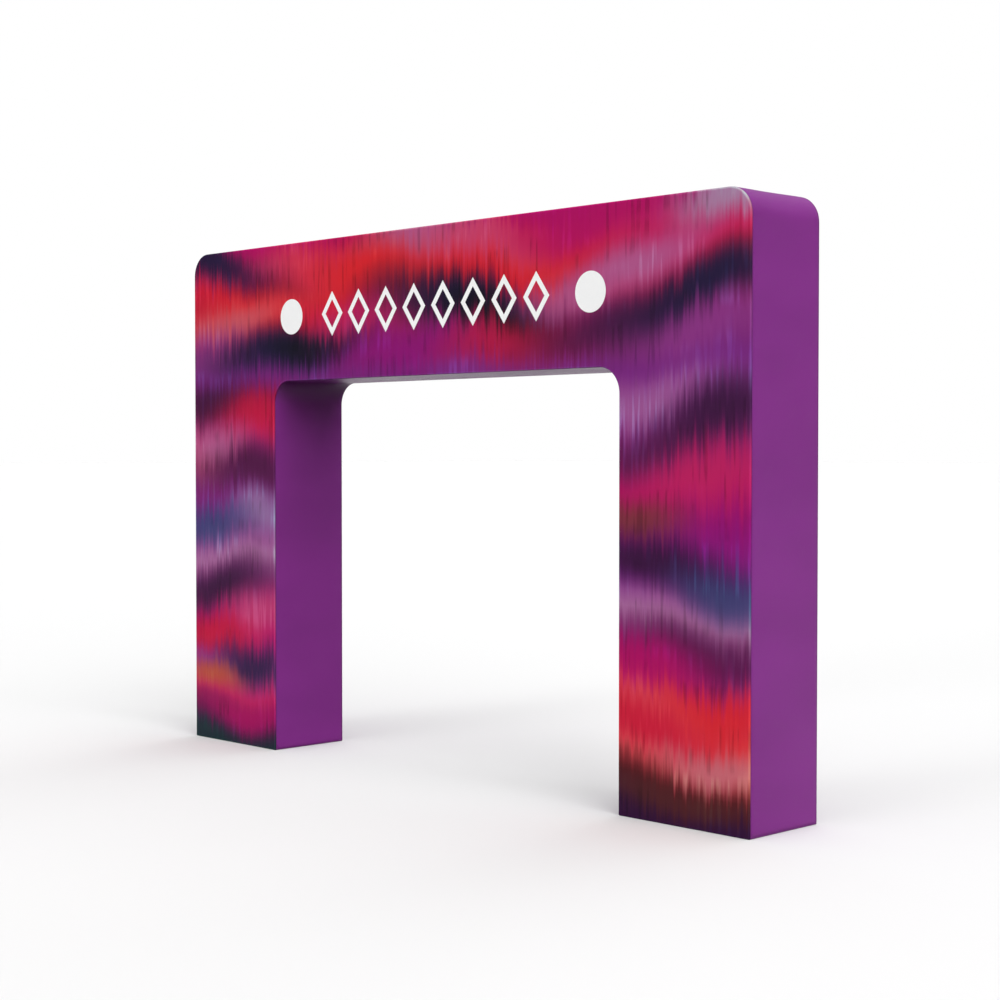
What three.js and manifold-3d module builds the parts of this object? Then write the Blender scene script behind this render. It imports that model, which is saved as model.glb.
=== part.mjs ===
// A free-standing advertising arch: a stretch-cloth cover, sewn from panels and bands, pulled over a
// plain frame of square aluminium tube that stands on two steel base plates.
// Millimetres, +Z up. The origin is on the floor, at the centre of the arch's footprint. +X runs along
// the width, and the front panel faces -Y.
import * as THREE from 'three';
import { mergeVertices } from 'three/addons/utils/BufferGeometryUtils.js';
import Module from 'manifold-3d';

// The arch
const archWidth = 4370;
const archHeight = 3000;
const archDepth = 520;
const legWidth = 810;
const lintelHeight = 804;
const cornerRadius = 132; // outer top corners and the corners of the passage

// The cover
const clothThickness = 2;
const edgeRadius = 8; // how roundly the cloth turns from a face panel onto the bands
const footRadius = 9; // the corners of the feet, seen from the front
const seamGap = 0.3; // between two pieces that meet

// The frame
const tube = { size: 30, wall: 1.5, turn: 5.6 }; // across the flats; turn is the corners' radius
const brace = { size: 20, wall: 1.5, turn: 3 }; // rungs and ties
const tubeClearance = 0.6; // between a tube and the cloth that is stretched over it
const braceHeight = 1400; // of the rungs and ties between the posts
const braceReach = 750; // from the middle of the arch to the rungs and ties of the lintel
const plateThickness = 6;
const plateInset = 10; // from the cover's outer faces to the plate's edges
const spigotHeight = 60; // above the plate
const spigotClearance = 0.5; // between a spigot and the bore of the post that stands over it

// Facets
const cornerSegments = 4; // three.js makes two facets of each, so 8 to a quarter turn
const edgeSegments = 3;
const tubeTurnSegments = 1; // 2 facets to each corner of a tube's section
const bendSteps = 2 * cornerSegments;

// Worked out from the sizes above
const halfWidth = archWidth / 2;
const halfDepth = archDepth / 2;
const halfPassage = halfWidth - legWidth;
const soffitHeight = archHeight - lintelHeight;
const legMiddle = (halfWidth + halfPassage) / 2;
const seamDepth = halfDepth - edgeRadius; // the seams lie where the turned edges end
const tubeInset = clothThickness + tubeClearance + tube.size / 2; // from an outer face to a tube's axis
const postReach = { outer: halfWidth - tubeInset, inner: halfPassage + tubeInset };
const railHeight = { outer: archHeight - tubeInset, inner: soffitHeight + tubeInset };
const bendCentre = {
  outer: { x: halfWidth - cornerRadius, z: archHeight - cornerRadius },
  inner: { x: halfPassage - cornerRadius, z: soffitHeight - cornerRadius },
};
const bendRadius = { outer: cornerRadius - tubeInset, inner: cornerRadius + tubeInset };
const tubeDepth = halfDepth - tubeInset; // from the middle of the arch to the tubes of one face
const plateBottom = clothThickness + seamGap;
const plateTop = plateBottom + plateThickness;
const postFoot = plateTop + seamGap;
const sides = [['left', -1], ['right', 1]];

const wasm = await Module();
wasm.setup();

const materials = {
  print: new THREE.MeshStandardMaterial({ color: 0xa8246a, roughness: 0.5, metalness: 0 }),
  violet: new THREE.MeshStandardMaterial({ color: 0x803088, roughness: 0.5, metalness: 0 }),
  tube: new THREE.MeshStandardMaterial({ color: 0xb8bbbf, roughness: 0.35, metalness: 1 }),
  plate: new THREE.MeshStandardMaterial({ color: 0x2b2c2f, roughness: 0.6, metalness: 0.2 }),
};

// A three.js geometry as a solid that can be joined and cut.
function solidOf(geometry) {
  const bare = geometry.clone();
  bare.deleteAttribute('normal');
  bare.deleteAttribute('uv');
  const merged = mergeVertices(bare, 1e-4);
  return new wasm.Manifold(new wasm.Mesh({
    numProp: 3,
    vertProperties: new Float32Array(merged.attributes.position.array),
    triVerts: new Uint32Array(merged.index.array),
  }));
}

// A solid as a three.js geometry again.
function geometryOf(solid) {
  const made = solid.getMesh();
  const geometry = new THREE.BufferGeometry();
  geometry.setAttribute('position', new THREE.BufferAttribute(made.vertProperties, 3));
  geometry.setIndex(new THREE.BufferAttribute(made.triVerts, 1));
  geometry.computeVertexNormals();
  return geometry;
}

function namedMesh(name, geometry, material) {
  const mesh = new THREE.Mesh(geometry, material);
  mesh.name = name;
  return mesh;
}

// A box over a range of each axis, for cutting.
function block({ x, y, z }) {
  const ranges = [x, y, z];
  const geometry = new THREE.BoxGeometry(...ranges.map(([low, high]) => high - low));
  geometry.translate(...ranges.map(([low, high]) => (low + high) / 2));
  return solidOf(geometry);
}

// ---- The cover ----

// The arch seen from the front, with its whole outline moved inwards by an inset. It is a row of
// quarter turns, from the top right corner round to the right foot, joined by straight lines.
function archOutline(inset) {
  const outer = { ...bendCentre.outer, radius: cornerRadius - inset };
  const inner = { ...bendCentre.inner, radius: cornerRadius + inset };
  const outerFoot = { x: halfWidth - footRadius, z: footRadius, radius: footRadius - inset };
  const innerFoot = { ...outerFoot, x: halfPassage + footRadius };
  const turns = [
    { corner: outer, side: 1, from: 0, to: 1 },
    { corner: outer, side: -1, from: 1, to: 2 },
    { corner: outerFoot, side: -1, from: 2, to: 3 },
    { corner: innerFoot, side: -1, from: 3, to: 4 },
    { corner: inner, side: -1, from: 2, to: 1 },
    { corner: inner, side: 1, from: 1, to: 0 },
    { corner: innerFoot, side: 1, from: 2, to: 3 },
    { corner: outerFoot, side: 1, from: 3, to: 4 },
  ];
  const quarter = Math.PI / 2;
  const shape = new THREE.Shape();
  for (const { corner, side, from, to } of turns) {
    shape.absarc(side * corner.x, corner.z, corner.radius, from * quarter, to * quarter, to < from);
  }
  shape.closePath();
  return shape;
}

// The whole arch as one block with turned edges, inset on every side.
function archBlock(inset) {
  const turn = edgeRadius - inset;
  const geometry = new THREE.ExtrudeGeometry(archOutline(inset), {
    depth: 2 * seamDepth,
    curveSegments: cornerSegments,
    bevelEnabled: true,
    bevelThickness: turn,
    bevelSize: turn,
    bevelOffset: -turn,
    bevelSegments: edgeSegments,
  });
  geometry.translate(0, 0, -seamDepth);
  geometry.rotateX(Math.PI / 2);
  return solidOf(geometry);
}

// The shell of cloth, cut along its seams: each face panel keeps its turned edges, the bands run
// between the panels, and a sole closes the foot of each leg.
function coverPieces() {
  const shell = archBlock(0).subtract(archBlock(clothThickness));
  const beyond = archWidth; // past the shell on every side
  const across = [-beyond, beyond];
  const between = [-seamDepth + seamGap, seamDepth - seamGap];
  const cut = (ranges) => shell.intersect(block(ranges));
  const bands = cut({ x: across, y: between, z: [footRadius + seamGap, beyond] }).decompose();
  const [outerBand, innerBand] = bands.sort((a, b) => b.boundingBox().max[0] - a.boundingBox().max[0]);
  const pieces = {
    front_panel: cut({ x: across, y: [-beyond, -seamDepth], z: across }),
    back_panel: cut({ x: across, y: [seamDepth, beyond], z: across }),
    outer_band: outerBand,
    inner_band: innerBand,
    left_sole: cut({ x: [-beyond, 0], y: between, z: [-beyond, footRadius] }),
    right_sole: cut({ x: [0, beyond], y: between, z: [-beyond, footRadius] }),
  };
  return Object.entries(pieces).map(([name, solid]) => {
    const material = name === 'front_panel' ? materials.print : materials.violet;
    return namedMesh(name, geometryOf(solid), material);
  });
}

// ---- The frame ----

// A square with rounded corners, run round its middle.
function roundedSquare(path, size, turn) {
  const reach = size / 2 - turn;
  const quarter = Math.PI / 2;
  const corners = [[reach, reach], [-reach, reach], [-reach, -reach], [reach, -reach]];
  corners.forEach(([x, y], turned) => {
    path.absarc(x, y, turn, turned * quarter, (turned + 1) * quarter, false);
  });
  path.closePath();
  return path;
}

// The cross-section of a square tube, bored through.
function tubeSection({ size, wall, turn }) {
  const shape = roundedSquare(new THREE.Shape(), size, turn);
  shape.holes.push(roundedSquare(new THREE.Path(), size - 2 * wall, turn - wall));
  return shape;
}

// A straight tube from one point to another, which lie on a line along X, Y or Z.
function straightTube(name, from, to, kind) {
  const start = new THREE.Vector3(...from);
  const end = new THREE.Vector3(...to);
  const geometry = new THREE.ExtrudeGeometry(tubeSection(kind), {
    depth: start.distanceTo(end),
    curveSegments: tubeTurnSegments,
    bevelEnabled: false,
  });
  const mesh = namedMesh(name, geometry, materials.tube);
  mesh.position.copy(start);
  mesh.quaternion.setFromUnitVectors(new THREE.Vector3(0, 0, 1), end.clone().sub(start).normalize());
  return mesh;
}

// A quarter turn in the XZ plane, from the X side of its centre up to the Z side.
class QuarterTurn extends THREE.Curve {
  constructor(radius) {
    super();
    this.radius = radius;
  }
  getPoint(t, target = new THREE.Vector3()) {
    const angle = (t * Math.PI) / 2;
    return target.set(this.radius * Math.cos(angle), 0, this.radius * Math.sin(angle));
  }
  getTangent(t, target = new THREE.Vector3()) {
    const angle = (t * Math.PI) / 2;
    return target.set(-Math.sin(angle), 0, Math.cos(angle));
  }
}

// A bent corner tube. On the left-hand side it is the same bend, turned half round about Z.
function bentTube(name, line, side, y) {
  const geometry = new THREE.ExtrudeGeometry(tubeSection(tube), {
    extrudePath: new QuarterTurn(bendRadius[line]),
    steps: bendSteps,
    curveSegments: tubeTurnSegments,
    bevelEnabled: false,
  });
  const mesh = namedMesh(name, geometry, materials.tube);
  mesh.position.set(side * bendCentre[line].x, y, bendCentre[line].z);
  mesh.rotation.z = side > 0 ? 0 : Math.PI;
  return mesh;
}

// One line of tubes in one face, the outer or the inner: two posts, two bends and the rail between.
function portalLine(face, line, y) {
  const pieces = [];
  for (const [sideName, side] of sides) {
    const x = side * postReach[line];
    const postTop = bendCentre[line].z - seamGap;
    pieces.push(straightTube(`${face}_${sideName}_${line}_post`, [x, y, postFoot], [x, y, postTop], tube));
    pieces.push(bentTube(`${face}_${sideName}_${line}_bend`, line, side, y));
  }
  const railName = line === 'outer' ? 'top_rail' : 'soffit_rail';
  const railEnd = bendCentre[line].x - seamGap;
  const z = railHeight[line];
  pieces.push(straightTube(`${face}_${railName}`, [-railEnd, y, z], [railEnd, y, z], tube));
  return pieces;
}

// The rungs of one face: one across each leg, and two up and down in the lintel.
function rungs(face, y) {
  const seat = tube.size / 2 + seamGap; // from a tube's axis to the end of what meets it
  const pieces = [];
  for (const [sideName, side] of sides) {
    pieces.push(straightTube(
      `${face}_${sideName}_leg_rung`,
      [side * (postReach.inner + seat), y, braceHeight],
      [side * (postReach.outer - seat), y, braceHeight],
      brace,
    ));
    pieces.push(straightTube(
      `${face}_${sideName}_lintel_rung`,
      [side * braceReach, y, railHeight.inner + seat],
      [side * braceReach, y, railHeight.outer - seat],
      brace,
    ));
  }
  return pieces;
}

// The ties, front to back, at the same places as the rungs' ends.
function ties() {
  const end = tubeDepth - tube.size / 2 - seamGap;
  const pieces = [];
  for (const [sideName, side] of sides) {
    for (const line of ['outer', 'inner']) {
      for (const [place, x, z] of [
        ['post', side * postReach[line], braceHeight],
        ['rail', side * braceReach, railHeight[line]],
      ]) {
        pieces.push(straightTube(`${sideName}_${line}_${place}_tie`, [x, -end, z], [x, end, z], brace));
      }
    }
  }
  return pieces;
}

// A steel plate in the foot of one leg, with a square spigot for each of its four posts.
function basePlate(name, side) {
  const plateWidth = legWidth - 2 * plateInset;
  const plateDepth = archDepth - 2 * plateInset;
  const spigotInset = tube.wall + spigotClearance; // from the tube's outer faces to the spigot's
  const spigot = solidOf(new THREE.ExtrudeGeometry(
    roundedSquare(new THREE.Shape(), tube.size - 2 * spigotInset, tube.turn - spigotInset),
    { depth: plateThickness / 2 + spigotHeight, curveSegments: tubeTurnSegments, bevelEnabled: false },
  ));
  const offset = legWidth / 2 - tubeInset;
  let solid = solidOf(new THREE.BoxGeometry(plateWidth, plateDepth, plateThickness));
  for (const x of [-offset, offset]) {
    for (const y of [-tubeDepth, tubeDepth]) {
      solid = solid.add(spigot.translate([x, y, 0]));
    }
  }
  const mesh = namedMesh(name, geometryOf(solid), materials.plate);
  mesh.position.set(side * legMiddle, 0, plateBottom + plateThickness / 2);
  return mesh;
}

function framePieces() {
  const pieces = [basePlate('left_base_plate', -1), basePlate('right_base_plate', 1)];
  for (const [face, y] of [['front', -tubeDepth], ['back', tubeDepth]]) {
    pieces.push(...portalLine(face, 'outer', y), ...portalLine(face, 'inner', y), ...rungs(face, y));
  }
  pieces.push(...ties());
  return pieces;
}

const cover = new THREE.Group();
cover.add(...coverPieces());

const frame = new THREE.Group();
frame.add(...framePieces());

const arch = new THREE.Group();
arch.add(cover, frame);

export default arch;
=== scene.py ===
# A free-standing advertising arch: a sewn stretch-cloth cover, printed on its front and plain violet
# elsewhere, pulled over a frame of square aluminium tube. Metres, +Z up, the printed front faces -Y.
import math

import bmesh
import bpy
import numpy as np
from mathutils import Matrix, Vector


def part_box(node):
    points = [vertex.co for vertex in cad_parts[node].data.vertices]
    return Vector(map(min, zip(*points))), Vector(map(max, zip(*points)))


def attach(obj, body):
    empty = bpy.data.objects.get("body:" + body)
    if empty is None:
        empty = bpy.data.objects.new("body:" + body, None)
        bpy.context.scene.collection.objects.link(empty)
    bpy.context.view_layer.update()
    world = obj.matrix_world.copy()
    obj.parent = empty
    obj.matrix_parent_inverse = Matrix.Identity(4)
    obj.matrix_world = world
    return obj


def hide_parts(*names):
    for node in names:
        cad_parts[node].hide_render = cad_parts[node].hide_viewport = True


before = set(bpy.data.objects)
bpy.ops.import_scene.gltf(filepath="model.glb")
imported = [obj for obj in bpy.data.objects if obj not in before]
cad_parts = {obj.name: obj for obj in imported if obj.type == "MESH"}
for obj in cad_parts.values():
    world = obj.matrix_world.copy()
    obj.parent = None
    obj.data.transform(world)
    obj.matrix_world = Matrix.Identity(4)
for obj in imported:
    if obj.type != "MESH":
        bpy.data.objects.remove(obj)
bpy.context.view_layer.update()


def measureArch():
    # every size that the cover needs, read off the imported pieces
    low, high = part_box("front_panel")
    bandLow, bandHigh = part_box("outer_band")
    _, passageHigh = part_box("inner_band")
    soleLow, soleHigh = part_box("right_sole")
    bendLow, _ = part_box("front_right_outer_bend")
    return {
        "halfWidth": high[0],
        "height": high[2],
        "front": -low[1],  # from the middle of the arch to the face of a panel
        "seam": -high[1],  # from the middle to the seam behind a panel's turned edge
        "bandEnd": bandHigh[1],  # from the middle to the cut edge of a band
        "halfPassage": soleLow[0],
        "soffit": passageHigh[2] - (passageHigh[0] - soleLow[0]),  # the cloth's thickness comes off
        "corner": high[0] - bendLow[0],
        "footTop": soleHigh[2],  # where a sole ends on the sides of a foot
        "bandFoot": bandLow[2],
    }


arch = measureArch()
print("frame read:", {key: round(value, 4) for key, value in arch.items()})

cameraSpot = {  # a standing visitor, off the right-hand front corner
    "right": 2.4754,  # times the arch's height
    "forward": 2.3209,
    "up": 0.5944,
    "turn": 45.748,  # degrees from looking straight at the front
    "tilt": -1.51,
    "lens": 66.55,
    "sensor": 36,
    "reach": 3000,
}


def placeCamera(spot):
    data = bpy.data.cameras.new("visitor")
    data.lens = spot["lens"]
    data.sensor_width = spot["sensor"]
    data.clip_end = spot["reach"]
    camera = bpy.data.objects.new("visitor", data)
    camera.location = Vector((spot["right"], -spot["forward"], spot["up"])) * arch["height"]
    camera.rotation_euler = (math.radians(90 + spot["tilt"]), 0, math.radians(spot["turn"]))
    bpy.context.collection.objects.link(camera)
    bpy.context.scene.camera = camera


placeCamera(cameraSpot)


class Wire:
    # one output of a node, so that arithmetic on it adds Math nodes
    def __init__(self, recipe, socket):
        self.recipe = recipe
        self.socket = socket

    def math(self, operation, *values):
        settings = {"operation": operation}
        return self.recipe.node("Math", settings, dict(enumerate(values)))

    def __add__(self, other):
        return self.math("ADD", self, other)

    def __radd__(self, other):
        return self.math("ADD", other, self)

    def __sub__(self, other):
        return self.math("SUBTRACT", self, other)

    def __rsub__(self, other):
        return self.math("SUBTRACT", other, self)

    def __mul__(self, other):
        return self.math("MULTIPLY", self, other)

    def __rmul__(self, other):
        return self.math("MULTIPLY", other, self)

    def __truediv__(self, other):
        return self.math("DIVIDE", self, other)

    def __abs__(self):
        return self.math("ABSOLUTE", self)

    def lower(self, other):
        return self.math("MINIMUM", self, other)

    def higher(self, other):
        return self.math("MAXIMUM", self, other)

    def sine(self):
        return self.math("SINE", self)

    def root(self):
        return self.math("SQRT", self)

    def fraction(self):
        return self.math("FRACT", self)

    def rise(self, start, end, low=0.0, high=1.0):
        # a smooth step from low to high while this value goes from start to end
        settings = {"interpolation_type": "SMOOTHSTEP"}
        return self.recipe.node("MapRange", settings, {0: self, 1: start, 2: end, 3: low, 4: high})


class Recipe:
    # the nodes of one material or of the surroundings
    def __init__(self, tree):
        self.tree = tree
        self.tree.nodes.clear()

    def node(self, kind, settings=None, inputs=None, output=0):
        # a node with these settings, and values or wires for its sockets; gives one output
        made = self.tree.nodes.new("ShaderNode" + kind)
        for key, value in (settings or {}).items():
            setattr(made, key, value)
        for key, value in (inputs or {}).items():
            if isinstance(value, Wire):
                self.tree.links.new(value.socket, made.inputs[key])
            else:
                made.inputs[key].default_value = value
        return None if output is None else Wire(self, made.outputs[output])

    def parts(self, vector):
        # the X, Y and Z of a vector
        split = self.node("SeparateXYZ", None, {0: vector}).socket.node
        return [Wire(self, socket) for socket in split.outputs]

    def joined(self, x, y, z=0.0):
        return self.node("CombineXYZ", None, {0: x, 1: y, 2: z})

    def noise(self, across, up, scale=(1, 1), detail=2.0):
        # a flat noise with this many features to the metre, across and up
        vector = self.joined(across * scale[0], up * scale[1])
        inputs = {"Vector": vector, "Scale": 1.0, "Detail": detail}
        return self.node("TexNoise", {"noise_dimensions": "2D"}, inputs)

    def mix(self, factor, first, second, blend="MIX"):
        # of a Mix node's sockets, 6 and 7 are the two colours, and output 2 is the colour it gives
        settings = {"data_type": "RGBA", "blend_type": blend}
        return self.node("Mix", settings, {0: factor, 6: first, 7: second}, output=2)

    def attribute(self, name, output="Fac"):
        return self.node("Attribute", {"attribute_name": name}, None, output)


def linear(colour):
    # screen colours of 0 to 255 as the light they stand for
    values = np.array(colour) / 255
    return np.where(values <= 0.04045, values / 12.92, ((values + 0.055) / 1.055) ** 2.4)


studio = {
    "backdrop": 1.0,  # brightness of the surroundings to the eye
    "zenith": 0.92,  # and as a light, straight up,
    "horizon": 0.01,  # level,
    "ground": 0.005,  # and below
    "dusk": 0.04,  # how far under the horizon it is all ground, as the sine of an angle
    "floorGrey": 0.815,
    "floorReach": 250,
}
lamps = [  # where the light comes from, its strength, its spread in degrees, and if it shines
    {"name": "topLamp", "from": (0.15, -0.25, 1.0), "strength": 0.23, "spread": 42, "shine": True},
    {"name": "frontLamp", "from": (-0.12, -1.0, 0.04), "strength": 2.87, "spread": 30, "shine": True},
    {"name": "rightLamp", "from": (0.90, -0.24, 0.48), "strength": 2.03, "spread": 50, "shine": True},
    {"name": "backLamp", "from": (0.05, 0.60, 0.90), "strength": 0.5, "spread": 64, "shine": False},
    {"name": "rearFill", "from": (-0.12, 1.0, 0.10), "strength": 1.1, "spread": 44, "shine": False},
]


def makeSurroundings():
    # white to the eye; as a light, brightest overhead and dimmer down to the horizon
    world = bpy.data.worlds.new("studioSky")
    world.use_nodes = True
    bpy.context.scene.world = world
    recipe = Recipe(world.node_tree)
    direction = recipe.node("TexCoord", None, None, "Generated")
    height = recipe.parts(direction)[2]
    above = height.higher(0) * (studio["zenith"] - studio["horizon"]) + studio["horizon"]
    light = height.rise(-studio["dusk"], 0.0) * (above - studio["ground"]) + studio["ground"]
    seen = recipe.node("LightPath", None, None, "Is Camera Ray")
    brightness = light + seen * (studio["backdrop"] - light)
    sky = recipe.node("Background", None, {"Color": (1, 1, 1, 1), "Strength": brightness})
    recipe.node("OutputWorld", None, {"Surface": sky}, None)


def makeFloor():
    reach = studio["floorReach"]
    mesh = bpy.data.meshes.new("floor")
    corners = [(-reach, -reach, 0), (reach, -reach, 0), (reach, reach, 0), (-reach, reach, 0)]
    mesh.from_pydata(corners, [], [(0, 1, 2, 3)])
    floor = bpy.data.objects.new("floor", mesh)
    material = bpy.data.materials.new("paleFloor")
    material.use_nodes = True
    recipe = Recipe(material.node_tree)
    grey = studio["floorGrey"]
    paint = recipe.node("BsdfDiffuse", None, {"Color": (grey, grey, grey, 1)})
    recipe.node("OutputMaterial", None, {"Surface": paint}, None)
    mesh.materials.append(material)
    floor.visible_diffuse = False  # it throws no light back at the cloth
    bpy.context.collection.objects.link(floor)


def hangLamps():
    for lamp in lamps:
        data = bpy.data.lights.new(lamp["name"], "SUN")
        data.energy = lamp["strength"]
        data.angle = math.radians(lamp["spread"])
        body = bpy.data.objects.new(lamp["name"], data)
        body.rotation_mode = "QUATERNION"
        body.rotation_quaternion = Vector(lamp["from"]).to_track_quat("Z", "Y")
        body.visible_glossy = lamp["shine"]
        bpy.context.collection.objects.link(body)


makeSurroundings()
makeFloor()
hangLamps()
bpy.context.scene.view_settings.view_transform = "Standard"
print("studio set")

cloth = {
    "spacing": 0.025,  # between the lines of the grid
    "bendSteps": 16,  # to a quarter turn
    "turnSteps": 6,  # round an edge
    "rollSteps": 3,  # where it rolls into its seam
    "rollIn": 0.0015,  # radius of that roll
    "thickness": 0.001,
    "tuck": 0.004,  # how far a band draws in, midway between its tubes, at a bend
    "merge": 1e-6,  # points closer than this are one
}
turnRadius = arch["front"] - arch["seam"] - cloth["rollIn"]  # of a panel's turned edge


def straightRun(start, end, left):
    # points in even steps from start to end, with the normals to their left, and not bent
    steps = max(1, round(np.linalg.norm(end - start) / cloth["spacing"]))
    along = np.linspace(0, 1, steps + 1)[:, None]
    return start + (end - start) * along, np.repeat(left[None], steps + 1, 0), np.zeros(steps + 1)


def quarterBend(start, way, left, side, radius):
    # a quarter circle that leaves start along the way and bends left where side is 1, and right
    # where it is -1: from its middle, the radius turns from straight across the way to along it
    angle = np.linspace(0, math.pi / 2, cloth["bendSteps"] + 1)[:, None]
    out = -side * left * np.cos(angle) + way * np.sin(angle)
    return start + side * left * radius + out * radius, -side * out, np.sin(2 * angle[:, 0])


def roundedPath(points, radius):
    # straight runs between the points, and a quarter circle of the radius at each point between
    # the ends; gives the line, its normals to the left of the way it runs, and how bent it is
    points = [np.array(point, float) for point in points]
    ways = [(end - start) / np.linalg.norm(end - start) for start, end in zip(points, points[1:])]
    pieces = []
    for index, way in enumerate(ways):
        start, end = points[index], points[index + 1]
        left = np.array([-way[1], way[0]])
        last = index == len(ways) - 1
        if index > 0:
            start = start + way * radius
        if not last:
            end = end - way * radius
        if np.dot(end - start, way) > cloth["rollIn"]:
            pieces.append(straightRun(start, end, left))
        if not last:
            onward = ways[index + 1]
            side = np.sign(way[0] * onward[1] - way[1] * onward[0])
            pieces.append(quarterBend(end, way, left, side, radius))
    line, normals, bent = [np.concatenate(parts) for parts in zip(*pieces)]
    keep = np.append(True, np.linalg.norm(np.diff(line, axis=0), axis=1) > cloth["merge"])
    return line[keep], normals[keep], bent[keep]


def runLength(line):
    # how far along the line each of its points lies
    return np.append(0, np.cumsum(np.linalg.norm(np.diff(line, axis=0), axis=1)))


def writeMaps(mesh, maps):
    # a UV map, and a colour or a number for each point, from arrays that cover the grid
    corner = np.empty(len(mesh.loops), int)
    mesh.loops.foreach_get("vertex_index", corner)
    for key, values in maps.items():
        if key == "uv":
            layer = mesh.uv_layers.new(name="cloth")
            layer.data.foreach_set("uv", values.reshape(-1, 2)[corner].ravel())
        elif values.ndim == 3:
            colour = mesh.attributes.new(key, "FLOAT_COLOR", "POINT")
            rgba = np.pad(values.reshape(-1, 3), ((0, 0), (0, 1)), constant_values=1)
            colour.data.foreach_set("color", rgba.ravel())
        else:
            mesh.attributes.new(key, "FLOAT", "POINT").data.foreach_set("value", values.ravel())


def sewGrid(name, points, maps, wanted, material):
    # a grid of points as a mesh, with a face for each wanted square; points that fall together
    # are merged
    rows, columns = points.shape[:2]
    index = np.arange(rows * columns).reshape(rows, columns)
    faces = np.stack([index[:-1, :-1], index[1:, :-1], index[1:, 1:], index[:-1, 1:]], -1)
    mesh = bpy.data.meshes.new(name)
    mesh.from_pydata(points.reshape(-1, 3).tolist(), [], faces[wanted].tolist())
    writeMaps(mesh, maps)
    shell = bmesh.new()
    shell.from_mesh(mesh)
    bmesh.ops.remove_doubles(shell, verts=shell.verts, dist=cloth["merge"])
    loose = [vertex for vertex in shell.verts if not vertex.link_faces]
    bmesh.ops.delete(shell, geom=loose, context="VERTS")
    shell.to_mesh(mesh)
    shell.free()
    mesh.polygons.foreach_set("use_smooth", np.ones(len(mesh.polygons), bool))
    mesh.materials.append(material)
    piece = bpy.data.objects.new(name, mesh)
    bpy.context.collection.objects.link(piece)
    wall = piece.modifiers.new("thickness", "SOLIDIFY")
    wall.thickness = cloth["thickness"]
    wall.offset = -1
    wall.use_even_offset = True
    return piece


def quarterTurn(steps):
    # angles after each even step of a quarter turn
    return np.linspace(0, math.pi / 2, steps + 1)[1:]


def edgeAngles(count):
    # for each line of points, how far it is turned round an edge and how far it is rolled in after
    # that: an edge, the flat part, the other edge; and how many lines an edge has
    turn, roll = quarterTurn(cloth["turnSteps"]), quarterTurn(cloth["rollSteps"])
    turned = np.concatenate([turn, np.full(len(roll), math.pi / 2)])
    rolled = np.concatenate([np.zeros(len(turn)), roll])
    flat = np.zeros(count)
    return (
        np.concatenate([turned[::-1], flat, turned]),
        np.concatenate([rolled[::-1], flat, rolled]),
        len(turned),
    )


def panelLines():
    # the two lines between which a panel is flat, each a turn radius inside one of its outlines.
    # The outer one is a rounded path. Each of its points has one on the inner line, on the way to
    # its pivot: the nearest point of a box whose top corners are the middles of the passage's
    # bends. Gives both lines, and the ways out of the panel across them
    inside, corner = turnRadius, arch["corner"]
    top, reach = arch["height"] - inside, arch["halfWidth"] - inside
    corners = [(-reach, inside), (-reach, top), (reach, top), (reach, inside)]
    outerLine, outerWay, _ = roundedPath(corners, corner - inside)
    pivotReach, pivotTop = arch["halfPassage"] - corner, arch["soffit"] - corner
    pivot = np.stack([
        np.clip(outerLine[:, 0], -pivotReach, pivotReach),
        np.minimum(outerLine[:, 1], pivotTop),
    ], 1)
    away = outerLine - pivot
    away = away / np.linalg.norm(away, axis=1)[:, None]
    return outerLine, pivot + away * (corner + inside), outerWay, -away


def turnedWays(outward, turnRow, turnColumn):
    # which way each point is pushed: forward on the flat part, ever more outward where the panel
    # turns over a side, and downward where it turns under a foot; across the panel and forward
    flat = np.sin(turnColumn)[None, :, None] * outward
    flat = flat + np.sin(turnRow)[:, None, None] * np.array([0.0, -1.0])
    forward = np.cos(turnColumn)[None] * np.cos(turnRow)[:, None]
    size = np.sqrt((flat ** 2).sum(-1) + forward ** 2)
    return flat / size[..., None], forward / size


def offCorners(rollRow, rollColumn):
    # where the rolls of two edges meet at a foot's corner they share one line, with no face
    rows = (rollRow[:-1] + rollRow[1:] > 0)[:, None]
    columns = (rollColumn[:-1] + rollColumn[1:] > 0)[None]
    return ~(rows & columns)


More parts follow.
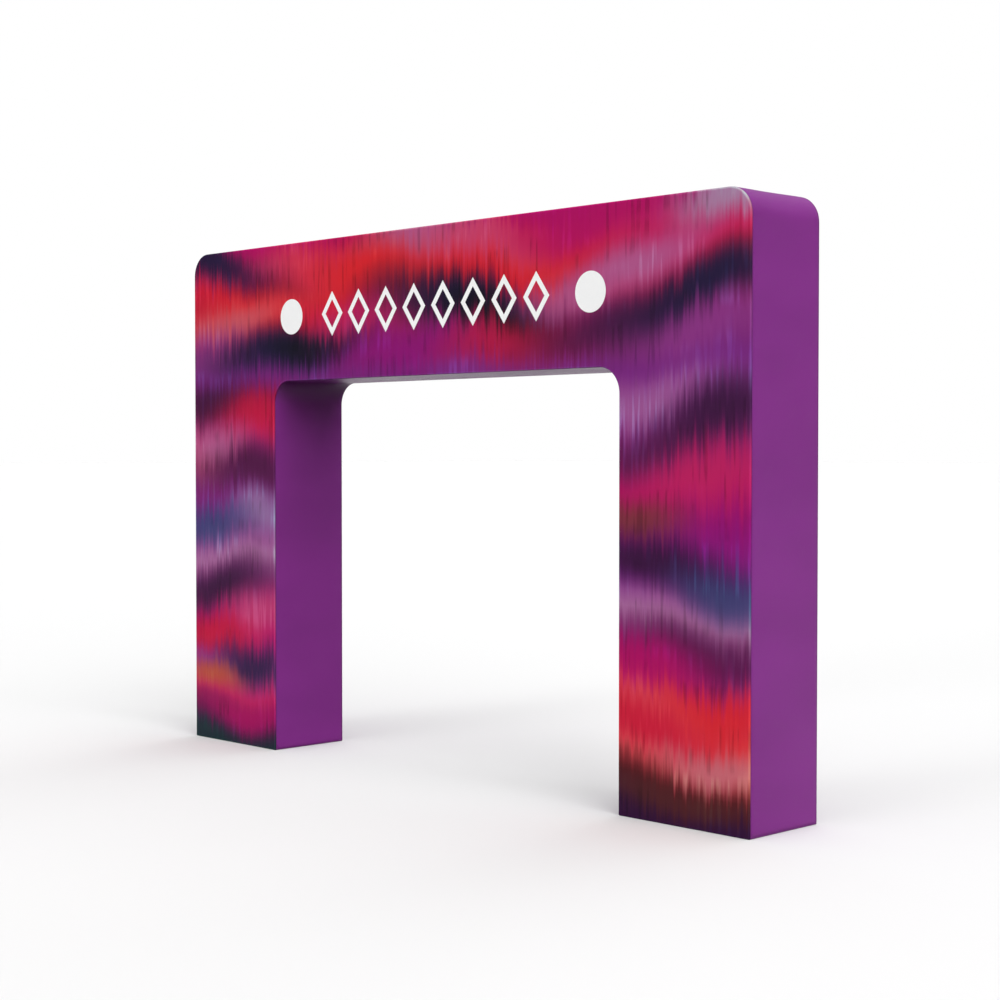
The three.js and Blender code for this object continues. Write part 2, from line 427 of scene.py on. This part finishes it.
def makePanel(name, side, material, paint=None):
    # a grid on the flat part, with lines added at its edges: each point is pushed out by the turn
    # radius, and the last few lines then dip into the seam
    outerLine, innerLine, outerWay, innerWay = panelLines()
    steps = round((arch["halfWidth"] - arch["halfPassage"]) / cloth["spacing"])
    turnColumn, rollColumn, edge = edgeAngles(steps + 1)
    turnRow, rollRow, _ = edgeAngles(len(outerLine))
    across = np.pad(np.linspace(0, 1, steps + 1), edge, "edge")
    along = np.pad(np.arange(len(outerLine)), edge, "edge")
    inner, outer = innerLine[along][:, None], outerLine[along][:, None]
    base = inner + (outer - inner) * across[None, :, None]
    nearInner = (across < 0.5)[None, :, None]
    outward = np.where(nearInner, innerWay[along][:, None], outerWay[along][:, None])

    flat, forward = turnedWays(outward, turnRow, turnColumn)
    roll = np.maximum(rollColumn[None], rollRow[:, None])
    dive = cloth["rollIn"]
    push = turnRadius - dive + dive * np.cos(roll)
    place = base + flat * push[..., None]
    depth = arch["seam"] + dive + forward * turnRadius - dive * np.sin(roll)
    points = np.stack([place[..., 0], side * depth, place[..., 1]], -1)

    fromEdge = np.minimum(across, 1 - across)[None] * np.linalg.norm(outer - inner, axis=-1)
    fromFoot = np.maximum(base[..., 1] - turnRadius, 0)
    turned = turnRadius * (math.pi / 2 - np.maximum(turnColumn[None], turnRow[:, None]))
    maps = {
        "uv": place,
        "seamDistance": np.minimum(fromEdge, fromFoot) + turned,
        "seamRun": np.repeat(runLength(outerLine)[along][:, None], len(across), 1),
    }
    if paint:
        maps.update(paint(place[..., 0], place[..., 1]))
    wanted = offCorners(rollRow, rollColumn)
    if side > 0:  # a back panel is turned round, so that its faces point out as well
        points, wanted = points[:, ::-1], wanted[:, ::-1]
        maps = {key: values[:, ::-1] for key, values in maps.items()}
    return sewGrid(name, points, maps, wanted, material)


def makeStrip(name, corners, radius, material, tuck=0.0):
    # a strip as wide as the space between the seams, carried along a line of straight runs and
    # quarter turns; both its sides and both its ends roll into their seams
    dive = cloth["rollIn"]
    line, normal, bent = roundedPath(corners, radius)
    half = arch["bandEnd"] - dive
    steps = round(2 * half / cloth["spacing"])
    roll = quarterTurn(cloth["rollSteps"])
    edge = len(roll)
    columns = np.pad(np.linspace(-half, half, steps + 1), edge, "edge")
    rollColumn = np.concatenate([roll[::-1], np.zeros(steps + 1), roll])
    rollRow = np.concatenate([roll[::-1], np.zeros(len(line)), roll])
    along = np.pad(np.arange(len(line)), edge, "edge")
    spot, out, bent = line[along], normal[along], bent[along]

    tangent = np.stack([out[:, 1], -out[:, 0]], 1)
    ends = np.pad(np.zeros(len(line)), edge, constant_values=(-1, 1))
    spot = spot + tangent * (ends * dive * np.sin(rollRow))[:, None]
    y = columns + np.sign(columns) * dive * np.sin(rollColumn)
    sink = dive * (1 - np.cos(np.maximum(rollColumn[None], rollRow[:, None])))
    waist = tuck * bent[:, None] * np.cos(columns / half * math.pi / 2)[None] ** 2
    place = spot[:, None] - out[:, None] * (sink + waist)[..., None]
    points = np.stack([place[..., 0], np.broadcast_to(y[None], sink.shape), place[..., 1]], -1)

    run = runLength(line)[along]
    seam = np.minimum((half - np.abs(columns))[None], np.minimum(run, run[-1] - run)[:, None])
    maps = {
        "uv": np.stack([np.broadcast_to(run[:, None], sink.shape), points[..., 1]], -1),
        "seamDistance": seam,
        "seamRun": np.broadcast_to(run[:, None], sink.shape),
    }
    wanted = np.ones((len(spot) - 1, len(columns) - 1), bool)
    return sewGrid(name, points, maps, wanted, material), run[-1]


ink = {  # screen colours
    "scarlet": (212, 34, 42), "crimson": (194, 20, 54), "vermilion": (216, 50, 60),
    "coral": (216, 76, 82), "rose": (188, 32, 92), "pink": (196, 66, 112),
    "dusty": (186, 112, 126), "magenta": (170, 8, 92), "fuchsia": (140, 14, 112),
    "wine": (140, 20, 74), "mulberry": (122, 32, 102), "plum": (76, 18, 64),
    "aubergine": (46, 12, 50), "violet": (116, 36, 122), "orchid": (138, 54, 132),
    "lilac": (166, 104, 152), "ash": (158, 146, 174), "midnight": (28, 20, 54),
    "black": (10, 9, 20), "slate": (52, 68, 112), "teal": (24, 40, 48),
    "amber": (186, 92, 42), "olive": (104, 68, 32), "bark": (78, 34, 34),
    "maroon": (80, 20, 28), "white": (247, 247, 247),
}
washes = {  # the ground of each part of the print: heights from the top down, and colours
    "lintel": [
        (3.0, "magenta"), (2.88, "rose"), (2.70, "crimson"), (2.52, "wine"), (2.36, "mulberry"),
        (2.18, "violet"),
    ],
    "leftLeg": [
        (2.24, "violet"), (2.04, "wine"), (1.86, "rose"), (1.66, "mulberry"), (1.40, "violet"),
        (1.16, "lilac"), (0.98, "mulberry"), (0.74, "magenta"), (0.52, "orchid"), (0.34, "rose"),
        (0.18, "plum"), (0.04, "teal"),
    ],
    "rightLeg": [
        (2.24, "violet"), (2.04, "orchid"), (1.86, "mulberry"), (1.66, "magenta"), (1.44, "fuchsia"),
        (1.22, "violet"), (1.02, "lilac"), (0.84, "mulberry"), (0.66, "rose"), (0.48, "vermilion"),
        (0.30, "coral"), (0.16, "maroon"), (0.04, "aubergine"),
    ],
}
strokes = {  # soft strokes over the ground: place along the arch from its middle, height, half
    # length, half height, rise, colour, strength
    "lintel": [
        (-1.55, 2.60, 0.85, 0.17, 0.18, "scarlet", 1.0),
        (-1.36, 2.68, 0.50, 0.08, 0.18, "vermilion", 0.6),
        (-1.78, 2.52, 0.38, 0.09, 0.16, "dusty", 0.6),
        (-1.82, 2.86, 0.60, 0.11, -0.10, "plum", 0.85),
        (-2.02, 2.90, 0.30, 0.08, -0.10, "midnight", 0.9),
        (-1.04, 2.90, 0.42, 0.10, -0.04, "pink", 0.8),
        (-2.00, 2.34, 0.40, 0.11, 0.14, "orchid", 0.8),
        (-1.22, 2.38, 0.66, 0.12, 0.12, "midnight", 1.0),
        (-0.98, 2.42, 0.36, 0.07, 0.12, "black", 0.8),
        (-0.46, 2.82, 0.72, 0.15, -0.12, "scarlet", 0.95),
        (0.02, 2.93, 0.44, 0.10, -0.05, "lilac", 0.85),
        (-0.58, 2.56, 0.40, 0.10, -0.10, "rose", 0.8),
        (-0.22, 2.34, 0.56, 0.11, -0.04, "fuchsia", 0.8),
        (0.24, 2.56, 0.60, 0.12, -0.16, "midnight", 0.95),
        (0.46, 2.48, 0.36, 0.08, -0.16, "black", 0.8),
        (0.76, 2.80, 0.62, 0.14, -0.08, "scarlet", 0.95),
        (0.44, 2.88, 0.40, 0.10, -0.10, "pink", 0.75),
        (0.66, 2.32, 0.46, 0.12, 0.06, "crimson", 0.8),
        (1.22, 2.92, 0.46, 0.10, 0.04, "magenta", 0.85),
        (1.16, 2.62, 0.36, 0.11, 0.12, "lilac", 0.8),
        (1.36, 2.40, 0.56, 0.11, 0.14, "plum", 0.9),
        (1.72, 2.76, 0.56, 0.14, 0.14, "rose", 0.95),
        (1.50, 2.70, 0.36, 0.08, 0.14, "lilac", 0.7),
        (2.04, 2.92, 0.28, 0.10, 0.0, "ash", 0.8),
        (1.94, 2.54, 0.50, 0.11, 0.14, "midnight", 0.95),
        (1.86, 2.34, 0.44, 0.10, 0.06, "orchid", 0.8),
    ],
    "leftLeg": [
        (-2.00, 2.08, 0.36, 0.11, 0.08, "aubergine", 0.8),
        (-1.54, 1.96, 0.34, 0.12, -0.10, "crimson", 0.7),
        (-2.02, 1.76, 0.30, 0.10, -0.10, "dusty", 0.5),
        (-1.60, 1.64, 0.42, 0.11, -0.16, "plum", 0.95),
        (-1.52, 1.40, 0.28, 0.10, -0.08, "ash", 0.6),
        (-2.02, 1.38, 0.34, 0.10, -0.12, "slate", 0.8),
        (-1.94, 0.98, 0.42, 0.11, 0.14, "aubergine", 0.85),
        (-1.54, 0.84, 0.32, 0.12, 0.10, "pink", 0.8),
        (-1.96, 1.86, 0.28, 0.09, -0.10, "lilac", 0.6),
        (-2.00, 0.68, 0.36, 0.10, 0.08, "crimson", 0.85),
        (-1.58, 0.54, 0.30, 0.09, 0.0, "midnight", 0.8),
        (-2.00, 0.42, 0.26, 0.07, 0.06, "amber", 0.7),
        (-1.66, 0.22, 0.46, 0.08, 0.04, "magenta", 0.8),
    ],
    "rightLeg": [
        (1.56, 2.08, 0.36, 0.10, 0.10, "lilac", 0.6),
        (2.00, 1.96, 0.38, 0.12, 0.12, "aubergine", 0.85),
        (1.52, 1.80, 0.30, 0.10, 0.08, "plum", 0.7),
        (1.92, 1.68, 0.46, 0.12, 0.06, "rose", 0.85),
        (1.48, 1.50, 0.28, 0.09, -0.06, "olive", 0.6),
        (1.60, 1.28, 0.48, 0.11, -0.12, "aubergine", 0.9),
        (2.06, 1.16, 0.30, 0.10, -0.08, "slate", 0.75),
        (1.96, 0.88, 0.40, 0.10, -0.08, "plum", 0.8),
        (1.54, 0.76, 0.36, 0.11, 0.10, "magenta", 0.8),
        (1.66, 0.54, 0.36, 0.08, 0.06, "coral", 0.7),
        (2.04, 0.60, 0.34, 0.10, 0.08, "scarlet", 0.8),
        (1.52, 0.42, 0.36, 0.10, 0.04, "crimson", 0.8),
        (2.00, 0.32, 0.30, 0.08, 0.06, "dusty", 0.7),
        (1.72, 0.10, 0.50, 0.07, 0.04, "bark", 0.8),
    ],
}
printing = {
    "legTop": (2.10, 2.32),  # the lintel's print fades into the legs' between these heights
    "slides": 5,  # copies of the print, each slid up or down, that the streaks pick from
    "slide": 0.032,
    "edge": 1.7,  # how much of a stroke is soft
    "sway": [(0.05, 3.1, 1.7, 0.0), (0.03, 7.3, -2.2, 1.3)],  # depth, across, up, phase
}


def ease(value):
    # a smooth step from 0 to 1
    value = np.clip(value, 0, 1)
    return value * value * (3 - 2 * value)


def layInk(place, height, part):
    # the ground, then each stroke in turn: an ellipse on a slope, soft from its middle outwards,
    # all on heights that sway with two sine waves
    for depth, across, up, phase in printing["sway"]:
        height = height + depth * np.sin(place * across + height * up + phase)
    stops = sorted(washes[part])
    levels = [level for level, _ in stops]
    colours = np.array([ink[name] for _, name in stops], float)
    colour = np.stack([np.interp(height, levels, colours[:, band]) for band in range(3)], -1)
    for middle, level, long, high, rise, name, strength in strokes[part]:
        along = (place - middle) / long
        across = (height - level - (place - middle) * rise) / high
        cover = strength * ease((1 + printing["edge"] / 2 - np.hypot(along, across)) / printing["edge"])
        colour = colour + (np.array(ink[name], float) - colour) * cover[..., None]
    return colour


def printAt(x, z):
    # the lintel's part of the print, fading into the legs' own parts under it
    legs = np.where((x < 0)[..., None], layInk(x, z, "leftLeg"), layInk(x, z, "rightLeg"))
    low, high = printing["legTop"]
    share = ease((z - low) / (high - low))[..., None]
    return legs + (layInk(x, z, "lintel") - legs) * share


def paintPanel(x, z):
    # the print at each point, slid by even steps up and down
    maps = {}
    for number in range(printing["slides"]):
        shift = (number - (printing["slides"] - 1) / 2) * printing["slide"]
        maps[f"print{number}"] = linear(printAt(x, z + shift))
    return maps


knit = {
    "wale": 0.0026,  # from rib to rib
    "course": 0.0019,
    "height": 0.00012,
    "grain": 0.07,  # painted shade: how much lighter a rib is than the gap beside it
    "roughness": 0.36,
    "slack": (2.1, 2.1),  # patches to the metre, across and up, in which the roughness varies
    "slackSpread": 0.12,
    "violetGlance": 1.265,  # refractive index: little shine face on, much at a glancing angle
    "printGlance": 1.14,  # the ink dulls it
}
seamLook = {
    "stitch": 0.0035,  # stitch length
    "line": 0.004,  # from the seam to the line of stitches
    "lineHalf": (0.0004, 0.0009),  # where the line's half width starts and ends to fade
    "gap": 0.3,  # softness of a stitch's ends
    "depth": 0.0004,
    "stitchShade": 0.12,
    "pucker": (60, 30),  # puckers to the metre, along the seam and away from it
    "puckerReach": 0.02,
    "puckerHeight": 0.0012,
    "shade": 0.82,  # painted shade: how dark the cloth is painted where it turns into its seam
    "shadeReach": (0.0005, 0.006),
}
violetCloth = {
    "colour": (138, 47, 143),
    "mottle": 0.05,
    "patch": (2.4, 1.1),  # to the metre, across and up
    "patchRise": (0.3, 0.7),
}
signs = {  # the white marks on the front
    "middle": -0.010,  # the row sits a little left of the arch's middle
    "discReach": 1.195,  # from the row's middle to a disc
    "level": 2.571,
    "discRadius": 0.103,
    "lozenges": 8,
    "pitch": 0.234,
    "halfWidth": 0.0935,
    "halfHeight": 0.128,
    "stroke": 0.028,
    "soft": 0.0008,
}
streaks = {  # a pair after a noise says how many of its features lie in a metre, across and up
    "rib": (32, 0.9),
    "fine": (60, 1.4),
    "patch": (1.2, 2.4),
    "patchRise": (0.38, 0.62),
    "spike": (0.30, 0.47, 0.53, 0.70),  # a noise slides the print below the second and above the third
    "pull": 0.9,  # how far the wide streaks slide the print: 1 is to its last copy
    "finePull": 0.5,
    "calm": 0.25,  # the least that a patch keeps of its pull
    "share": 0.7,  # how strongly a slid print shows
    "line": (36, 1.9),  # thin lines, pale in some zones and dark in others
    "zone": (1.7, 3.5),
    "zoneStart": (9, 4),
    "paleLine": (0.50, 0.66),
    "paleZone": (0.44, 0.74),
    "palest": 0.5,
    "bloom": (1.3, 2.9, 2.0),  # what a line at full strength would multiply red, green and blue by
    "darkLine": (0.47, 0.32),
    "darkZone": (0.54, 0.38),
    "darkest": 0.28,
    "edgeHighlight": (1.2, 1.9, 1.35),  # painted highlight: how much brighter the print is where the cloth turns an edge
    "edgeHighlightReach": (0.007, 0.016),  # from the seam
}


def newFinish(name):
    material = bpy.data.materials.new(name)
    material.use_nodes = True
    return material, Recipe(material.node_tree)


def clothShader(recipe, colour, across, up, glance):
    # knitted ribs and courses, a line of stitches and puckers beside each seam, painted shade in the
    # seams and between the ribs, a soft shine
    turn = 2 * math.pi
    ribs = (across * (turn / knit["wale"])).sine() * (up * (turn / knit["course"])).sine()
    slack = recipe.noise(across, up, knit["slack"])
    seam = recipe.attribute("seamDistance")
    run = recipe.attribute("seamRun")
    near = 1 - seam.rise(0, seamLook["puckerReach"])
    puckers = recipe.noise(run, seam, seamLook["pucker"], detail=1.0)
    dashes = (run * (turn / seamLook["stitch"])).sine().rise(-seamLook["gap"], seamLook["gap"])
    stitches = (1 - abs(seam - seamLook["line"]).rise(*seamLook["lineHalf"])) * dashes
    pucker = (puckers - 0.5) * near * seamLook["puckerHeight"]
    height = ribs * knit["height"] + pucker - stitches * seamLook["depth"]
    bump = recipe.node("Bump", None, {"Strength": 1.0, "Distance": 1.0, "Height": height})
    shade = 1 - stitches * seamLook["stitchShade"]
    # painted shade where the cloth turns into its seam
    shade = shade * seam.rise(*seamLook["shadeReach"], seamLook["shade"], 1.0)
    # painted shade in the gaps between the ribs
    shade = shade * (1 + ribs * knit["grain"])
    grey = recipe.joined(shade, shade, shade)
    shader = recipe.node("BsdfPrincipled", None, {
        "Base Color": recipe.mix(1.0, colour, grey, "MULTIPLY"),
        "Roughness": knit["roughness"] + (slack - 0.5) * knit["slackSpread"],
        "IOR": glance,
        "Normal": bump,
    })
    recipe.node("OutputMaterial", None, {"Surface": shader}, None)


def clothMap(recipe):
    # across and up on the cloth, in metres
    spread = recipe.node("UVMap", {"uv_map": "cloth"})
    return recipe.parts(spread)[:2]


def makeViolet():
    material, recipe = newFinish("violetKnit")
    across, up = clothMap(recipe)
    mottle = recipe.noise(across, up, violetCloth["patch"]).rise(*violetCloth["patchRise"])
    base = linear(violetCloth["colour"])
    dark, pale = base * (1 - violetCloth["mottle"]), base * (1 + violetCloth["mottle"])
    colour = recipe.mix(mottle, (*dark, 1), (*pale, 1))
    clothShader(recipe, colour, across, up, knit["violetGlance"])
    return material


def spikes(value):
    # nothing near a noise's middle, a soft spike down or up towards its ends
    lowest, low, high, highest = streaks["spike"]
    return value.rise(lowest, low, -1.0, 0.0) + value.rise(high, highest)


def slideStreaks(recipe, x, z):
    # each streak slides the print up or down by its own amount
    pull = spikes(recipe.noise(x, z, streaks["rib"])) * streaks["pull"]
    pull = pull + spikes(recipe.noise(x, z, streaks["fine"], detail=1.0)) * streaks["finePull"]
    patch = recipe.noise(x, z, streaks["patch"]).rise(*streaks["patchRise"], streaks["calm"], 1.0)
    middle = (printing["slides"] - 1) / 2
    pick = pull * patch * middle + middle
    colour = recipe.attribute("print0", "Color")
    for number in range(1, printing["slides"]):
        share = (pick - (number - 1)).higher(0).lower(1)
        colour = recipe.mix(share, colour, recipe.attribute(f"print{number}", "Color"))
    still = recipe.attribute(f"print{printing['slides'] // 2}", "Color")
    return recipe.mix(streaks["share"], still, colour)


def drawLines(recipe, x, z, colour):
    # thin lines with long soft ends
    line = recipe.noise(x, z, streaks["line"], detail=1.0)
    across, up = streaks["zone"]
    right, above = streaks["zoneStart"]
    zone = recipe.noise(x * across + right, z * up + above)
    pale = line.rise(*streaks["paleLine"]) * zone.rise(*streaks["paleZone"]) * streaks["palest"]
    dark = line.rise(*streaks["darkLine"]) * zone.rise(*streaks["darkZone"]) * streaks["darkest"]
    colour = recipe.mix(pale, colour, (*streaks["bloom"], 1), "MULTIPLY")
    return recipe.mix(dark, colour, (0, 0, 0, 1))


def whiteMarks(x, z):
    # how white the front is: 1 on two discs and on a row of outlined lozenges between them. A
    # point is in a lozenge where its distances across and up, as shares of the half width and
    # half height, add up to less than 1
    soft = signs["soft"]
    along, rise = x - signs["middle"], z - signs["level"]
    away = abs(along) - signs["discReach"]
    disc = (signs["discRadius"] - (away * away + rise * rise).root()).rise(-soft, soft)
    half = signs["lozenges"] * signs["pitch"] / 2
    cell = ((along + half) / signs["pitch"]).fraction() - 0.5
    size = abs(cell * signs["pitch"]) / signs["halfWidth"] + abs(rise) / signs["halfHeight"]
    slim = signs["stroke"] * math.hypot(1 / signs["halfWidth"], 1 / signs["halfHeight"])
    blur = soft / signs["halfWidth"]
    outline = (1 - size).rise(-blur, blur) * (size - (1 - slim)).rise(-blur, blur)
    row = (half - abs(along)).rise(0, soft)
    return disc.higher(outline * row)


def makePrinted():
    material, recipe = newFinish("printedKnit")
    x, z = clothMap(recipe)
    colour = drawLines(recipe, x, z, slideStreaks(recipe, x, z))
    colour = recipe.mix(whiteMarks(x, z), colour, (*linear(ink["white"]), 1))
    # a painted highlight: the print is made paler where the cloth turns an edge
    edgeHighlight = recipe.attribute("seamDistance").rise(*streaks["edgeHighlightReach"], 1.0, 0.0)
    colour = recipe.mix(edgeHighlight, colour, (*streaks["edgeHighlight"], 1), "MULTIPLY")
    clothShader(recipe, colour, x, z, knit["printGlance"])
    return material


tubeFinish = {
    "grain": (160, 3.0),  # noise scale and detail
    "smear": (7, 2.0),
    "clean": (0.56, 0.57, 0.59, 1),
    "smeared": (0.68, 0.69, 0.71, 1),
    "roughness": (0.28, 0.16),  # least, and how much a smear adds
    "bump": (0.15, 0.001),  # strength and height
}
plateFinish = {
    "grain": (900, 2.0),  # the paint's orange peel
    "scuff": (22, 4.0),
    "scuffRise": (0.55, 0.75),
    "paint": (0.018, 0.018, 0.020, 1),
    "scuffed": (0.05, 0.05, 0.052, 1),
    "roughness": (0.5, 0.2),
    "bump": (0.4, 0.0004),
}


def metalNoise(recipe, setting):
    place = recipe.node("TexCoord", None, None, "Object")
    scale, detail = setting
    return recipe.node("TexNoise", None, {"Vector": place, "Scale": scale, "Detail": detail})


def metalShader(recipe, colour, wear, finish, metallic):
    # rougher with wear, and a fine bump
    strength, height = finish["bump"]
    least, more = finish["roughness"]
    grain = metalNoise(recipe, finish["grain"])
    bump = recipe.node("Bump", None, {"Strength": strength, "Distance": height, "Height": grain})
    shader = recipe.node("BsdfPrincipled", None, {
        "Base Color": colour,
        "Metallic": metallic,
        "Roughness": least + wear * more,
        "Normal": bump,
    })
    recipe.node("OutputMaterial", None, {"Surface": shader}, None)


def makeAluminium():
    material, recipe = newFinish("milledTube")
    smear = metalNoise(recipe, tubeFinish["smear"])
    colour = recipe.mix(smear, tubeFinish["clean"], tubeFinish["smeared"])
    metalShader(recipe, colour, smear, tubeFinish, 1.0)
    return material


def makePlatePaint():
    material, recipe = newFinish("blackPowderCoat")
    scuff = metalNoise(recipe, plateFinish["scuff"])
    scuffed = scuff.rise(*plateFinish["scuffRise"])
    colour = recipe.mix(scuffed, plateFinish["paint"], plateFinish["scuffed"])
    metalShader(recipe, colour, scuff, plateFinish, 0.0)
    return material


tubeKinds = ("post", "bend", "rail", "rung", "tie")


def fitCloth(piece, node, area=None, restsOn=()):
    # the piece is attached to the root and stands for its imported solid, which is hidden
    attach(piece, "root")
    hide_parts(node)


def tubesNamed(word):
    return [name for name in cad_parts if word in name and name.endswith(tubeKinds)]


def makePanels(violet, printed):
    edge = math.pi / 2 * turnRadius  # cloth taken up by a turned edge
    wide, tall = 2 * (arch["halfWidth"] + edge), arch["height"] + 2 * edge
    passage = 2 * arch["halfPassage"] * arch["soffit"]
    for face, side, material, slot, paint in [
        ("front", -1, printed, "printed_cloth", paintPanel),
        ("back", 1, violet, "violet_cloth", None),
    ]:
        piece = makePanel(f"{face}Panel", side, material, paint)
        fitCloth(piece, f"{face}_panel", wide * tall - passage, tubesNamed(face))
    print("panels sewn")


def makeBands(violet):
    # the outer band starts at the left foot and the inner one at the right, so that both have the
    # outside of the cover on the left of their way
    foot, width = arch["bandFoot"] + cloth["rollIn"], 2 * arch["bandEnd"]
    for name, start, top in [
        ("outer", -arch["halfWidth"], arch["height"]),
        ("inner", arch["halfPassage"], arch["soffit"]),
    ]:
        corners = [(start, foot), (start, top), (-start, top), (-start, foot)]
        piece, length = makeStrip(f"{name}Band", corners, arch["corner"], violet, cloth["tuck"])
        fitCloth(piece, f"{name}_band", None, tubesNamed(f"_{name}_"))
    print("bands sewn")


def makeSoles(violet):
    # each goes under a foot and a little way up both its sides
    lip, width = arch["footTop"] - cloth["rollIn"], 2 * arch["bandEnd"]
    for name, low, high in [
        ("left", -arch["halfWidth"], -arch["halfPassage"]),
        ("right", arch["halfPassage"], arch["halfWidth"]),
    ]:
        corners = [(high, lip), (high, 0), (low, 0), (low, lip)]
        piece, length = makeStrip(f"{name}Sole", corners, lip, violet)
        fitCloth(piece, f"{name}_sole", None, [f"{name}_base_plate"])
    print("soles sewn")


def finishFrame():
    tube, plate = makeAluminium(), makePlatePaint()
    for name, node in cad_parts.items():
        if name.endswith("base_plate"):
            node.data.materials[0] = plate
        elif name.endswith(tubeKinds):
            node.data.materials[0] = tube
    print("frame finished")


violet, printed = makeViolet(), makePrinted()
makePanels(violet, printed)
makeBands(violet)
makeSoles(violet)
finishFrame()
